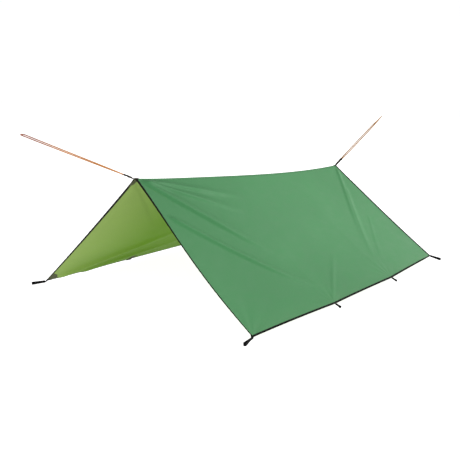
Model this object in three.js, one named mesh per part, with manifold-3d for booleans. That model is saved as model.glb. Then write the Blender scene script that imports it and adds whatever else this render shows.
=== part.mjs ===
// A ridge tarp shelter, pitched low as an A-frame: two coated fabric walls sewn together along a ridge,
// edge tapes, corner and loop reinforcements, webbing peg loops, and a doubled guyline at each end.
//
// Millimetres, +Z up. The ridge runs along X: the head end, at -X, is the higher one, the foot end is at +X.
// The front wall is on the -Y side. The origin is on the level ground, below the middle of the ridge.
//
// Everything on the walls is laid out on the flat sheet first: `along` is measured from the head edge,
// `down` from the ridge seam, and `lift` outward off the middle of the cloth. sheetPoint() pitches it.

import * as THREE from 'three';
import { mergeVertices } from 'three/addons/utils/BufferGeometryUtils.js';
import Module from 'manifold-3d';

const wasm = await Module();
wasm.setup();

// ---------------------------------------------------------------- driving dimensions

const RIDGE_LENGTH = 3000;
const WALL_DEPTH = 1350; // from the ridge seam down to the hem, on the flat sheet
const HEAD_HEIGHT = 939; // ridge above the ground at the head end
const FOOT_HEIGHT = 848; // ridge above the ground at the foot end

const RIDGE_SAG = 35; // deepest dip of the ridge seam below a straight line
const RIDGE_SAG_SKEW = 1.5; // moves the dip towards the lower end
const RIDGE_SAG_FULLNESS = 0.75;

const FRONT = -1;
const BACK = 1;
const HEM_CLEARANCE = { [FRONT]: 28, [BACK]: 24 }; // each hem hangs this far above the ground

// How far each hem stands outside the line that a flat wall would reach: at the head and foot corners
// (spread), and at the two middle loops (pull). How much it draws in between loops, and how far the cloth
// hollows at the head, the middle and the foot. A skew over 1 puts the deepest hollow nearer to the hem.
const SHAPE = {
  [FRONT]: { spread: [10, -2], pull: 30, drawIn: 8, hollow: [32, 40, 8], hollowSkew: 1.3 },
  [BACK]: { spread: [19, 3], pull: -14, drawIn: 4, hollow: [6, 30, 8], hollowSkew: 1 },
};

// The head line draws the end of the ridge out into a peak. The draw fades away along the ridge, and down
// each end edge as a power of what is left of the wall.
const PEAK = { reach: 26, rise: 11.5, fadeAlong: 150, fadeDown: { [FRONT]: 8, [BACK]: 1.2 } };
// The foot end's front corner is pegged out beyond the end of the ridge.
const FLARE = { side: FRONT, reach: 62, span: 1000 };

const CLOTH = 2; // thickness of the solid that stands for the coated cloth
const LAYER_GAP = 0.6;
const TAPE = 1.5; // thickness of edge tape
const TAPE_WIDTH = 12;
const SEAM_TAPE_REACH = 22; // ridge seam tape, each side of the seam
const WALL_START = 30; // where the walls begin, clear of the seam tape when they swing
const PATCH = 1.4; // thickness of a reinforcement
const PATCH_LIFT = -2; // outer face of a reinforcement, inside the wall

const CORNER_PATCH_SIZE = 120;
const RIDGE_PATCH_LENGTH = 55; // along the ridge
const RIDGE_PATCH_DEPTH = 105; // down the end edge
const LOOP_PATCH_WIDTH = 90;
const LOOP_PATCH_DEPTH = 70;
const LOOP_PATCH_TAPER = 0.7; // its upper edge, as a share of its width at the hem
const PATCH_WAIST = 0.62; // a corner patch's outer corner, as a share of its size along each edge

const WALL_STEPS_ALONG = 24;
const WALL_STEPS_DOWN = 12;
const ARC_STEPS = 7;
const WELD_DISTANCE = 1e-4;

const WEBBING = 1.8; // thickness of webbing
const LOOP_ROOT_GAP = 5; // from the hem's edge to the root of a peg loop
const LOOP_ROOT_DROP = 3; // root of a peg loop below the hem's edge
const CORNER_LOOP = { length: 103, width: 18, eyeRadius: 9 };
const SIDE_LOOP = { length: 47, width: 12, eyeRadius: 6 };
const LOOP_TAB_LENGTH = 16;
const LOOP_TAB_WIDTH_SHARE = 0.8; // of the webbing's width
const LOOP_TAB_OVERLAP = 4; // of the tab and the folded strip
const SEWN_LENGTH = 11; // where the two layers of a folded strip stay together
const EYE_ROOT_HALF = 0.3;

const RIDGE_LOOP_WIDTH = 20;
const RIDGE_LOOP_EYE = 3.6;
const RIDGE_LOOP_GAP = 4;

const BUCKLE_WIDTH = 30;
const BUCKLE_LENGTH = 30;
const BUCKLE_THICKNESS = 4;
const BUCKLE_BAR = 4; // the bar that the ridge loop turns round
const BUCKLE_SLOT_LENGTH = 7;
const BUCKLE_SLOT_WIDTH = 22;
const BUCKLE_SLOT_CORNER_RADIUS = 1;
const BUCKLE_CORNER_RADIUS = 4;
const CORD_HOLE_INSET = 8; // from the buckle's outer edge
const CORD_HOLE_PLAY = 0.4; // round the cord

const CORD_SIDES = 8;
const CORD_STEPS = 80;
const TOUCH_GAP = 0.3;

// Each end of the ridge: which way it faces along X, the length of its webbing loop, how steeply its line
// climbs, its cord's diameter, how far apart the two cord holes are, and the route of its doubled cord. A
// route's points are [out along the line, across, above], from the buckle's outer face, round the bight at
// the anchor, and back to the buckle.
const ENDS = {
  head: {
    facing: -1,
    loopLength: 94,
    climbDegrees: 19.7,
    cordDiameter: 7,
    holeSpacing: 9,
    route: [
      [0, 4.5, 0], [12, 4.5, 0], [60, 3.9, 1], [150, 3.1, 2.1], [290, 1.9, 3.1], [430, 1, 3.5],
      [560, 0.9, 3.7], [685, 3.6, 3.6], [775, 9.4, 2.8], [822, 14.6, 2.1], [847.5, 15.3, 2],
      [858.5, 10.9, 1.4], [863, 0, 0], [858.5, -10.9, -1.4],
      [847.5, -15.3, -2], [822, -14.6, -2.1], [775, -9.4, -3.3], [685, -3.6, -4.4], [560, -0.9, -4.5],
      [430, -1, -4.1], [290, -1.9, -3.4], [150, -3.1, -2.3], [60, -3.9, -1.1], [12, -4.5, 0], [0, -4.5, 0],
    ],
  },
  foot: {
    facing: 1,
    loopLength: 120,
    climbDegrees: 24.2,
    cordDiameter: 10,
    holeSpacing: 12,
    route: [
      [0, 6, 0], [12, 6, 0], [70, 5.6, 2.4], [170, 5, 4.2], [300, 4.8, 4.8], [440, 4.8, 4.8],
      [590, 4.9, 4.6], [740, 5.8, 3.2], [860, 8, -1], [945, 11.6, -8], [1000, 14.8, -14],
      [1032, 15.4, -15.4], [1047.6, 10.9, -10.9], [1054, 0, 0], [1047.6, -10.9, 10.9],
      [1032, -15.4, 15.4], [1000, -14.8, 14], [945, -11.6, 7.4], [860, -8, 0], [740, -5.8, -4.4],
      [590, -4.9, -6.2], [440, -4.8, -6.6], [300, -4.8, -6.4], [170, -5, -5.4], [70, -5.6, -2.8],
      [12, -6, 0], [0, -6, 0],
    ],
  },
};

// The peg loops: which wall, where along its hem, and the compass heading of the peg it reaches for.
const PEG_LOOPS = [
  { name: 'head_front_corner', side: FRONT, along: 0, heading: 184, kind: CORNER_LOOP },
  { name: 'foot_front_corner', side: FRONT, along: RIDGE_LENGTH, heading: -92, kind: CORNER_LOOP },
  { name: 'head_back_corner', side: BACK, along: 0, heading: 142, kind: CORNER_LOOP },
  { name: 'foot_back_corner', side: BACK, along: RIDGE_LENGTH, heading: 50, kind: CORNER_LOOP },
  { name: 'head_front_side', side: FRONT, along: RIDGE_LENGTH / 3, heading: -90, kind: SIDE_LOOP },
  { name: 'foot_front_side', side: FRONT, along: 2 * RIDGE_LENGTH / 3, heading: -90, kind: SIDE_LOOP },
  { name: 'head_back_side', side: BACK, along: RIDGE_LENGTH / 3, heading: 90, kind: SIDE_LOOP },
  { name: 'foot_back_side', side: BACK, along: 2 * RIDGE_LENGTH / 3, heading: 90, kind: SIDE_LOOP },
];

// ---------------------------------------------------------------- materials

const COLOURS = {
  cloth: { color: 0x4f9a63, roughness: 0.62, metalness: 0 },
  tape: { color: 0x1f2a20, roughness: 0.85, metalness: 0 },
  seam: { color: 0x468a58, roughness: 0.7, metalness: 0 },
  patch: { color: 0x68704a, roughness: 0.8, metalness: 0 },
  webbing: { color: 0x17191a, roughness: 0.85, metalness: 0 },
  strap: { color: 0x5c543a, roughness: 0.85, metalness: 0 },
  buckle: { color: 0x211e19, roughness: 0.45, metalness: 0 },
  cord: { color: 0xcc8444, roughness: 0.75, metalness: 0 },
};

const shelter = new THREE.Group();

function makeMesh(name, geometry, finish, parent = shelter) {
  const mesh = new THREE.Mesh(geometry, new THREE.MeshStandardMaterial(COLOURS[finish]));
  mesh.name = name;
  parent.add(mesh);
  return mesh;
}

// ---------------------------------------------------------------- the pitched shape of the sheet

const lerp = THREE.MathUtils.lerp;

function ridgeHeight(along) {
  const share = THREE.MathUtils.clamp(along / RIDGE_LENGTH, 0, 1);
  const dip = Math.pow(Math.sin(Math.PI * Math.pow(share, RIDGE_SAG_SKEW)), RIDGE_SAG_FULLNESS);
  return lerp(HEAD_HEIGHT, FOOT_HEIGHT, share) - RIDGE_SAG * dip;
}

// The hem's distance from the ridge's vertical plane: what the wall's depth allows, plus the spread of the
// corners and the pull of the two middle loops, less the draw of the cloth in each of the three spans.
function hemReach(side, along) {
  const { spread, pull, drawIn } = SHAPE[side];
  const share = THREE.MathUtils.clamp(along / RIDGE_LENGTH, 0, 1);
  const span = 3 * share;
  const inSpan = span - Math.min(Math.floor(span), 2);
  const pulled = Math.min(span, 1, 3 - span) * pull;
  const rise = ridgeHeight(along) - HEM_CLEARANCE[side];
  const flat = Math.sqrt(WALL_DEPTH * WALL_DEPTH - rise * rise);
  return flat + lerp(...spread, share) + pulled - 4 * drawIn * inSpan * (1 - inSpan);
}

function hollowDepth(side, along) {
  const [head, middle, foot] = SHAPE[side].hollow;
  const share = along / RIDGE_LENGTH;
  const bulge = 4 * share * (1 - share) * (middle - (head + foot) / 2);
  return lerp(head, foot, share) + bulge;
}

// How much of the ridge peak's draw reaches a point of the sheet.
function peakShare(side, along, down) {
  const left = Math.max(0, 1 - down / WALL_DEPTH);
  return Math.exp(-along / PEAK.fadeAlong) * Math.pow(left, PEAK.fadeDown[side]);
}

function flareReach(side, along, down) {
  if (side !== FLARE.side) {
    return 0;
  }
  const inSpan = THREE.MathUtils.clamp(1 - (RIDGE_LENGTH - along) / FLARE.span, 0, 1);
  return FLARE.reach * inSpan * inSpan * down / WALL_DEPTH;
}

// A point of the flat sheet, once the shelter is pitched.
function sheetPoint(side, along, down, lift) {
  const rise = ridgeHeight(along) - HEM_CLEARANCE[side];
  const reach = hemReach(side, along);
  const chord = Math.hypot(rise, reach);
  const share = down / WALL_DEPTH;
  const hollow = hollowDepth(side, along) * Math.sin(Math.PI * Math.pow(share, SHAPE[side].hollowSkew));
  const outward = lift - hollow;
  const peak = peakShare(side, along, down);
  return new THREE.Vector3(
    along - RIDGE_LENGTH / 2 - PEAK.reach * peak + flareReach(side, along, down),
    side * (reach * share + outward * rise / chord),
    HEM_CLEARANCE[side] + rise * (1 - share) + outward * reach / chord + PEAK.rise * peak,
  );
}

// A point over the ridge seam, `above` the middle of the cloth.
function ridgePoint(along, above) {
  const peak = peakShare(FRONT, along, 0);
  return new THREE.Vector3(
    along - RIDGE_LENGTH / 2 - PEAK.reach * peak, 0, ridgeHeight(along) + above + PEAK.rise * peak,
  );
}

function signedVolume(geometry) {
  const corners = [new THREE.Vector3(), new THREE.Vector3(), new THREE.Vector3()];
  let volume = 0;
  const { position } = geometry.attributes;
  for (let i = 0; i < geometry.index.count; i += 3) {
    corners.forEach((corner, k) => corner.fromBufferAttribute(position, geometry.index.getX(i + k)));
    volume += corners[0].dot(corners[1].cross(corners[2])) / 6;
  }
  return volume;
}

function weld(geometry) {
  const bare = geometry.clone();
  bare.deleteAttribute('normal');
  bare.deleteAttribute('uv');
  return mergeVertices(bare, WELD_DISTANCE);
}

// Moves every corner of a geometry with `place`, and keeps its faces pointing out.
function drape(geometry, place) {
  const draped = weld(geometry);
  const position = draped.attributes.position;
  const corner = new THREE.Vector3();
  for (let i = 0; i < position.count; i++) {
    corner.fromBufferAttribute(position, i);
    const placed = place(corner);
    position.setXYZ(i, placed.x, placed.y, placed.z);
  }
  if (signedVolume(draped) < 0) {
    const index = draped.index;
    for (let i = 0; i < index.count; i += 3) {
      const first = index.getX(i);
      index.setX(i, index.getX(i + 1));
      index.setX(i + 1, first);
    }
  }
  draped.computeVertexNormals();
  return draped;
}

function polygon(points) {
  return new THREE.Shape(points.map(([x, y]) => new THREE.Vector2(x, y)));
}

function extrude(shape, depth, steps = 1) {
  return new THREE.ExtrudeGeometry(shape, { depth, steps, bevelEnabled: false, curveSegments: ARC_STEPS });
}

// ---------------------------------------------------------------- walls and what is sewn to them

function wallPanel(side) {
  const inset = TAPE + LAYER_GAP;
  const length = RIDGE_LENGTH - 2 * inset;
  const depth = WALL_DEPTH - inset - WALL_START;
  const flat = new THREE.BoxGeometry(length, depth, CLOTH, WALL_STEPS_ALONG, WALL_STEPS_DOWN, 1);
  return drape(flat, (p) => sheetPoint(side, p.x + RIDGE_LENGTH / 2, p.y + depth / 2 + WALL_START, p.z));
}

// Edge tape folded round the cloth: `x` runs in from the edge, `y` is the lift.
function foldedTape() {
  const inner = CLOTH / 2 + LAYER_GAP;
  const outer = inner + TAPE;
  return polygon([
    [0, -outer], [TAPE_WIDTH, -outer], [TAPE_WIDTH, -inner], [TAPE, -inner],
    [TAPE, inner], [TAPE_WIDTH, inner], [TAPE_WIDTH, outer], [0, outer],
  ]);
}

function hemTape(side) {
  const flat = extrude(foldedTape(), RIDGE_LENGTH, WALL_STEPS_ALONG);
  return drape(flat, (p) => sheetPoint(side, p.z, WALL_DEPTH - p.x, p.y));
}

// How far along the sheet a point is that lies `inward` from one end.
function alongFrom(end, inward) {
  return end === 'head' ? inward : RIDGE_LENGTH - inward;
}

function endTape(side, end) {
  const length = WALL_DEPTH - TAPE_WIDTH - LAYER_GAP - WALL_START;
  const flat = extrude(foldedTape(), length, WALL_STEPS_DOWN);
  return drape(flat, (p) => sheetPoint(side, alongFrom(end, p.x), p.z + WALL_START, p.y));
}

// The seam tape covers the ridge: `x` is measured across the seam, `y` is the lift.
function ridgeSeamTape() {
  const inner = CLOTH / 2 + LAYER_GAP;
  const outer = inner + TAPE;
  const section = polygon([
    [-SEAM_TAPE_REACH, inner], [0, inner], [SEAM_TAPE_REACH, inner],
    [SEAM_TAPE_REACH, outer], [0, outer], [-SEAM_TAPE_REACH, outer],
  ]);
  return drape(extrude(section, RIDGE_LENGTH, WALL_STEPS_ALONG), (p) => {
    if (p.x !== 0) {
      return sheetPoint(Math.sign(p.x), p.z, Math.abs(p.x), p.y);
    }
    const rise = ridgeHeight(p.z) - HEM_CLEARANCE[FRONT];
    const mitre = p.y * WALL_DEPTH / Math.sqrt(WALL_DEPTH * WALL_DEPTH - rise * rise);
    return ridgePoint(p.z, mitre);
  });
}

// A reinforcement inside the wall. Its outline's `x` runs along the sheet and its `y` across it.
function reinforcement(side, outline, toAlong, toDown) {
  const flat = extrude(polygon(outline), PATCH);
  return drape(flat, (p) => sheetPoint(side, toAlong(p.x), toDown(p.y), PATCH_LIFT - p.z));
}

function cornerOutline(sizeX, sizeY, insetX, insetY) {
  return [[insetX, insetY], [sizeX, insetY], [sizeX * PATCH_WAIST, sizeY * PATCH_WAIST], [insetX, sizeY]];
}

function addWall(side, sideName) {
  const inset = TAPE_WIDTH + LAYER_GAP;
  makeMesh(`${sideName}_panel`, wallPanel(side), 'cloth');
  makeMesh(`${sideName}_hem_tape`, hemTape(side), 'tape');
  for (const end of Object.keys(ENDS)) {
    const toAlong = (x) => alongFrom(end, x);
    makeMesh(`${end}_${sideName}_end_tape`, endTape(side, end), 'tape');
    const corner = cornerOutline(CORNER_PATCH_SIZE, CORNER_PATCH_SIZE, inset, inset);
    makeMesh(
      `${end}_${sideName}_corner_patch`,
      reinforcement(side, corner, toAlong, (y) => WALL_DEPTH - y),
      'patch',
    );
    const top = cornerOutline(RIDGE_PATCH_LENGTH, RIDGE_PATCH_DEPTH, inset, WALL_START + LAYER_GAP);
    makeMesh(`${end}_${sideName}_ridge_patch`, reinforcement(side, top, toAlong, (y) => y), 'patch');
  }
  for (const loop of PEG_LOOPS.filter((l) => l.side === side && l.kind === SIDE_LOOP)) {
    const low = LOOP_PATCH_WIDTH / 2;
    const high = low * LOOP_PATCH_TAPER;
    const outline = [[-low, inset], [low, inset], [high, LOOP_PATCH_DEPTH], [-high, LOOP_PATCH_DEPTH]];
    makeMesh(
      `${loop.name}_patch`,
      reinforcement(side, outline, (x) => loop.along + x, (y) => WALL_DEPTH - y),
      'patch',
    );
  }
}

// ---------------------------------------------------------------- webbing loops

function toManifold(geometry) {
  const welded = weld(geometry);
  const solid = new wasm.Mesh({
    numProp: 3,
    vertProperties: new Float32Array(welded.attributes.position.array),
    triVerts: new Uint32Array(welded.index.array),
  });
  return new wasm.Manifold(solid);
}

function fromManifold(solid) {
  const { vertProperties, triVerts } = solid.getMesh();
  const geometry = new THREE.BufferGeometry();
  geometry.setAttribute('position', new THREE.BufferAttribute(vertProperties, 3));
  geometry.setIndex(new THREE.BufferAttribute(triVerts, 1));
  geometry.computeVertexNormals();
  return geometry;
}

// A wedge that widens from half its root's thickness to a round end, drawn about y = 0.
function traceTeardrop(outline, start, rootHalf, centre, radius) {
  const turn = Math.PI / 2 + Math.asin((radius - rootHalf) / (centre - start));
  outline.moveTo(start, -rootHalf);
  outline.lineTo(centre + radius * Math.cos(turn), -radius * Math.sin(turn));
  outline.absarc(centre, 0, radius, -turn, turn, false);
  outline.lineTo(start, rootHalf);
  outline.closePath();
  return outline;
}

// A webbing strip folded back on itself, seen edge-on: it starts as two layers sewn together at `start`
// and opens into an eye round its far end.
function foldedWebbing(start, length, eyeRadius) {
  const centre = length - eyeRadius - WEBBING;
  const outline = traceTeardrop(new THREE.Shape(), start, WEBBING, centre, eyeRadius + WEBBING);
  const eye = traceTeardrop(new THREE.Path(), start + SEWN_LENGTH, EYE_ROOT_HALF, centre, eyeRadius);
  outline.holes.push(eye);
  return outline;
}

// A peg loop stands on edge, so that a peg can go down through it, and its root lies flat in a short tab.
function pegLoopGeometry({ length, width, eyeRadius }) {
  const ring = extrude(foldedWebbing(LOOP_TAB_LENGTH - LOOP_TAB_OVERLAP, length, eyeRadius), width);
  ring.translate(0, 0, -width / 2);
  const tab = new THREE.BoxGeometry(LOOP_TAB_LENGTH, width * LOOP_TAB_WIDTH_SHARE, 2 * WEBBING);
  tab.translate(LOOP_TAB_LENGTH / 2, 0, 0);
  return fromManifold(toManifold(ring).add(toManifold(tab)));
}

// The loop slopes down from its root until the lower edge of its far end touches the ground.
function loopSlope(side, { length, width }) {
  const rootHeight = HEM_CLEARANCE[side] - LOOP_ROOT_DROP;
  const reach = Math.hypot(length, width / 2);
  return Math.asin(rootHeight / reach) - Math.atan2(width / 2, length);
}

function addPegLoop({ name, side, along, heading, kind }) {
  const turn = THREE.MathUtils.degToRad(heading);
  const direction = new THREE.Vector3(Math.cos(turn), Math.sin(turn), 0);
  const root = sheetPoint(side, along, WALL_DEPTH, 0).addScaledVector(direction, LOOP_ROOT_GAP);
  const holder = new THREE.Group();
  holder.position.set(root.x, root.y, root.z - LOOP_ROOT_DROP);
  holder.rotation.z = turn;
  shelter.add(holder);
  makeMesh(`${name}_loop`, pegLoopGeometry(kind), 'webbing', holder).rotation.y = loopSlope(side, kind);
}

// ---------------------------------------------------------------- ridge loops, buckles and guylines

function ridgeLoopGeometry(length) {
  const ring = extrude(foldedWebbing(0, length, RIDGE_LOOP_EYE), RIDGE_LOOP_WIDTH);
  ring.translate(0, 0, -RIDGE_LOOP_WIDTH / 2);
  ring.rotateX(Math.PI / 2);
  return ring;
}

// Traces a rectangle with round corners, from xLow to xHigh and evenly about y = 0, into a shape or a path.
function traceRoundedRectangle(outline, xLow, xHigh, height, radius) {
  const y = height / 2 - radius;
  const quarter = Math.PI / 2;
  outline.absarc(xHigh - radius, -y, radius, -quarter, 0, false);
  outline.absarc(xHigh - radius, y, radius, 0, quarter, false);
  outline.absarc(xLow + radius, y, radius, quarter, 2 * quarter, false);
  outline.absarc(xLow + radius, -y, radius, 2 * quarter, 3 * quarter, false);
  outline.closePath();
  return outline;
}

// The buckle is a flat plate with a slot behind its bar and two holes for the cord. Its bar's middle is at 0.
function buckleGeometry(cordDiameter, holeSpacing) {
  const barHalf = BUCKLE_BAR / 2;
  const outerEdge = BUCKLE_LENGTH - barHalf;
  const plate = new THREE.Shape();
  traceRoundedRectangle(plate, -barHalf, outerEdge, BUCKLE_WIDTH, BUCKLE_CORNER_RADIUS);
  const slotEnd = barHalf + BUCKLE_SLOT_LENGTH;
  plate.holes.push(
    traceRoundedRectangle(new THREE.Path(), barHalf, slotEnd, BUCKLE_SLOT_WIDTH, BUCKLE_SLOT_CORNER_RADIUS),
  );
  const holeRadius = cordDiameter / 2 + CORD_HOLE_PLAY;
  for (const across of [-holeSpacing / 2, holeSpacing / 2]) {
    const hole = new THREE.Path();
    hole.absarc(outerEdge - CORD_HOLE_INSET, across, holeRadius, 0, 2 * Math.PI, false);
    plate.holes.push(hole);
  }
  const geometry = extrude(plate, BUCKLE_THICKNESS);
  geometry.translate(0, 0, -BUCKLE_THICKNESS / 2);
  return geometry;
}

function cordGeometry(route, diameter) {
  const points = route.map(([out, across, above]) => new THREE.Vector3(out, across, above));
  const path = new THREE.CatmullRomCurve3(points, false, 'centripetal');
  const corners = Array.from({ length: CORD_SIDES }, (_, i) => {
    const turn = 2 * Math.PI * i / CORD_SIDES;
    return [diameter / 2 * Math.cos(turn), diameter / 2 * Math.sin(turn)];
  });
  return new THREE.ExtrudeGeometry(polygon(corners), { steps: CORD_STEPS, extrudePath: path });
}

// The ridge loop, its buckle and the doubled cord all lie along one straight line that climbs from the ridge.
function addLine(end, { facing, loopLength, climbDegrees, cordDiameter, holeSpacing, route }) {
  const along = facing < 0 ? 0 : RIDGE_LENGTH;
  const line = new THREE.Group();
  line.position.copy(ridgePoint(along, 0));
  line.position.x += facing * RIDGE_LOOP_GAP;
  line.rotation.z = facing < 0 ? Math.PI : 0;
  shelter.add(line);
  const climbing = new THREE.Group();
  climbing.rotation.y = -THREE.MathUtils.degToRad(climbDegrees);
  line.add(climbing);
  makeMesh(`${end}_ridge_loop`, ridgeLoopGeometry(loopLength), 'strap', climbing);
  const bar = loopLength - WEBBING - RIDGE_LOOP_EYE;
  makeMesh(`${end}_buckle`, buckleGeometry(cordDiameter, holeSpacing), 'buckle', climbing).position.x = bar;
  const cord = makeMesh(`${end}_guyline`, cordGeometry(route, cordDiameter), 'cord', climbing);
  cord.position.x = bar + BUCKLE_LENGTH - BUCKLE_BAR / 2 + TOUCH_GAP;
}

// ---------------------------------------------------------------- assembly

makeMesh('ridge_seam_tape', ridgeSeamTape(), 'seam');
addWall(FRONT, 'front');
addWall(BACK, 'back');
PEG_LOOPS.forEach(addPegLoop);
for (const [end, dimensions] of Object.entries(ENDS)) {
  addLine(end, dimensions);
}

export default shelter;
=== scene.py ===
"""The looks of a ridge tarp shelter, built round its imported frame, in metres with +Z up.

The walls, their bindings, reinforcements and stitches all lie on one pitched sheet. A place on it is
`along` from the head edge, `down` from the ridge seam and `lift` outward off the middle of the cloth,
and on_cloth() says where that is. FRONT is the wall on the -Y side.
"""

import math

import bpy
import numpy as np
from mathutils import Matrix, Vector


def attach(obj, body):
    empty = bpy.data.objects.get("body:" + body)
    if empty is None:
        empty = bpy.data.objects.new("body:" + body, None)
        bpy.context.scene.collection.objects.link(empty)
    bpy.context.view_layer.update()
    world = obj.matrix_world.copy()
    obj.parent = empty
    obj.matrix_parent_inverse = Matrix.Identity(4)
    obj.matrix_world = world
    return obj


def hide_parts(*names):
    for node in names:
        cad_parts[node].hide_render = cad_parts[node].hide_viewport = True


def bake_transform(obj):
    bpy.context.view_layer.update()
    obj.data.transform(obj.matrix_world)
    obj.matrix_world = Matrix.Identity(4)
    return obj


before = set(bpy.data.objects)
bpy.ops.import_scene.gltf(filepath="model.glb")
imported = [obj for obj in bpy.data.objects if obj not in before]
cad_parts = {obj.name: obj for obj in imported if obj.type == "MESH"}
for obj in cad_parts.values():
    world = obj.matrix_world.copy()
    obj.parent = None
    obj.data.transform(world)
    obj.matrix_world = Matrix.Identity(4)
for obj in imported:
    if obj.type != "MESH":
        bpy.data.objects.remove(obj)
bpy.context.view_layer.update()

# ---------------------------------------------------------------- driving dimensions, as in the frame

RIDGE_LENGTH = 3.0
WALL_DEPTH = 1.35
HEAD_HEIGHT = 0.939
FOOT_HEIGHT = 0.848
RIDGE_SAG = 0.035
RIDGE_SAG_SKEW = 1.5
RIDGE_SAG_FULLNESS = 0.75

FRONT = -1
BACK = 1
SIDES = {"front": FRONT, "back": BACK}
ENDS = ("head", "foot")
HEM_CLEARANCE = {FRONT: 0.028, BACK: 0.024}

# The hem is spread at the corners and pulled at the two middle loops; between loops it draws in; the wall
# hollows between its edges.
SPREAD = {FRONT: (0.010, -0.002), BACK: (0.019, 0.003)}
PULL = {FRONT: 0.030, BACK: -0.014}
DRAW_IN = {FRONT: 0.008, BACK: 0.004}
HOLLOW = {FRONT: (0.032, 0.040, 0.008), BACK: (0.006, 0.030, 0.008)}
HOLLOW_SKEW = {FRONT: 1.3, BACK: 1.0}

# The head line draws the end of the ridge out into a peak, and the foot end's front corner is pegged out.
PEAK_REACH = 0.026
PEAK_RISE = 0.0115
PEAK_FADE_ALONG = 0.150
PEAK_FADE_DOWN = {FRONT: 8, BACK: 1.2}
FLARE_REACH = {FRONT: 0.062, BACK: 0.0}
FLARE_SPAN = 1.0

RIDGE_ROUND = 0.005  # radius of the fold over the ridge
RIDGE_ROUND_FADE = 0.060
CLOTH_HALF = 0.0004
SLOPE_STEP = 0.001  # over which the cloth's slope is measured
GRID_STEP = 0.008

# The binding's width on the outer and the inner face: [run along the edge, width].
HEM_BINDING = {
    "front": (
        [(0.0, 0.013), (2.0, 0.015), (2.7, 0.014), (3.0, 0.010)],
        [(0.0, 0.006), (3.0, 0.006)],
    ),
    "back": ([(0.0, 0.012), (3.0, 0.012)], [(0.0, 0.005), (3.0, 0.005)]),
}
END_BINDING = {
    "head_front": (
        [(0.0, 0.020), (0.25, 0.015), (0.55, 0.010), (1.35, 0.007)],
        [(0.0, 0.014), (1.35, 0.010)],
    ),
    "head_back": ([(0.0, 0.012), (1.35, 0.012)], [(0.0, 0.022), (0.3, 0.020), (1.35, 0.015)]),
    "foot_front": ([(0.0, 0.021), (1.35, 0.026)], [(0.0, 0.012), (1.35, 0.012)]),
    "foot_back": ([(0.0, 0.012), (1.35, 0.012)], [(0.0, 0.012), (1.35, 0.012)]),
}
BINDING_INNER = 0.0006  # lift of the binding's two faces
BINDING_OUTER = 0.0014

STITCH_INSET = 0.0022
STITCH_PITCH = 0.0055
STITCH_LENGTH = 0.0042
THREAD_HALF = 0.00045
THREAD_SLOT = 1  # a sewn piece's second material is its thread
STITCH_SHAPE = [(0.0, 0.35, 0.1), (0.5, 1.0, 1.0), (1.0, 0.35, 0.1)]  # (along it, width share, height share)

WEBBING = 0.0018
CORNER_LOOP = {"length": 0.103, "width": 0.020, "eye": 0.009, "tail": 0.045}
SIDE_LOOP = {"length": 0.047, "width": 0.015, "eye": 0.006, "tail": 0.030}
LOOP_ROOT_GAP = 0.005
LOOP_ROOT_DROP = 0.003
LOOP_TURN_BEFORE = 0.012  # a peg loop's quarter turn starts this far before its root
LOOP_TURN_LENGTH = 0.010

RIDGE_LOOP_WIDTH = 0.020
RIDGE_LOOP_EYE = 0.0036
RIDGE_LOOP_GAP = 0.004
RIDGE_LOOP_TWIST = math.radians(42)  # between its sewn root and the buckle
BUCKLE_LENGTH = 0.030
BUCKLE_BAR = 0.004
TOUCH_GAP = 0.0003

# Each end of the ridge: the way it faces along X, the length of its webbing loop, how steeply its line
# climbs, its cord's diameter and length, how far apart the two cord holes are, and its doubled cord's route:
# [out along the line, across, above], from the buckle's outer face.
LINES = {
    "head": {
        "facing": -1,
        "loop_length": 0.094,
        "climb": math.radians(19.7),
        "cord_diameter": 0.007,
        "cord_length": 1.745,
        "hole_spacing": 0.009,
        "route": [
            (0, 0.0045, 0), (0.012, 0.0045, 0), (0.060, 0.0039, 0.001), (0.150, 0.0031, 0.0021),
            (0.290, 0.0019, 0.0031), (0.430, 0.001, 0.0035), (0.560, 0.0009, 0.0037), (0.685, 0.0036, 0.0036),
            (0.775, 0.0094, 0.0028), (0.822, 0.0146, 0.0021), (0.8475, 0.0153, 0.002),
            (0.8585, 0.0109, 0.0014), (0.863, 0, 0), (0.8585, -0.0109, -0.0014), (0.8475, -0.0153, -0.002),
            (0.822, -0.0146, -0.0021), (0.775, -0.0094, -0.0033), (0.685, -0.0036, -0.0044),
            (0.560, -0.0009, -0.0045), (0.430, -0.001, -0.0041), (0.290, -0.0019, -0.0034),
            (0.150, -0.0031, -0.0023), (0.060, -0.0039, -0.0011), (0.012, -0.0045, 0), (0, -0.0045, 0),
        ],
    },
    "foot": {
        "facing": 1,
        "loop_length": 0.120,
        "climb": math.radians(24.2),
        "cord_diameter": 0.010,
        "cord_length": 2.135,
        "hole_spacing": 0.012,
        "route": [
            (0, 0.006, 0), (0.012, 0.006, 0), (0.070, 0.0056, 0.0024), (0.170, 0.005, 0.0042),
            (0.300, 0.0048, 0.0048), (0.440, 0.0048, 0.0048), (0.590, 0.0049, 0.0046),
            (0.740, 0.0058, 0.0032), (0.860, 0.008, -0.001), (0.945, 0.0116, -0.008), (1.000, 0.0148, -0.014),
            (1.032, 0.0154, -0.0154), (1.0476, 0.0109, -0.0109), (1.054, 0, 0), (1.0476, -0.0109, 0.0109),
            (1.032, -0.0154, 0.0154), (1.000, -0.0148, 0.014), (0.945, -0.0116, 0.0074), (0.860, -0.008, 0),
            (0.740, -0.0058, -0.0044), (0.590, -0.0049, -0.0062), (0.440, -0.0048, -0.0066),
            (0.300, -0.0048, -0.0064), (0.170, -0.005, -0.0054), (0.070, -0.0056, -0.0028),
            (0.012, -0.006, 0), (0, -0.006, 0),
        ],
    },
}

# The way each corner's loop points, in degrees from +X; a side loop points straight out from its hem.
CORNER_HEADINGS = {
    ("head", "front"): 184,
    ("foot", "front"): -92,
    ("head", "back"): 142,
    ("foot", "back"): 50,
}


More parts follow.
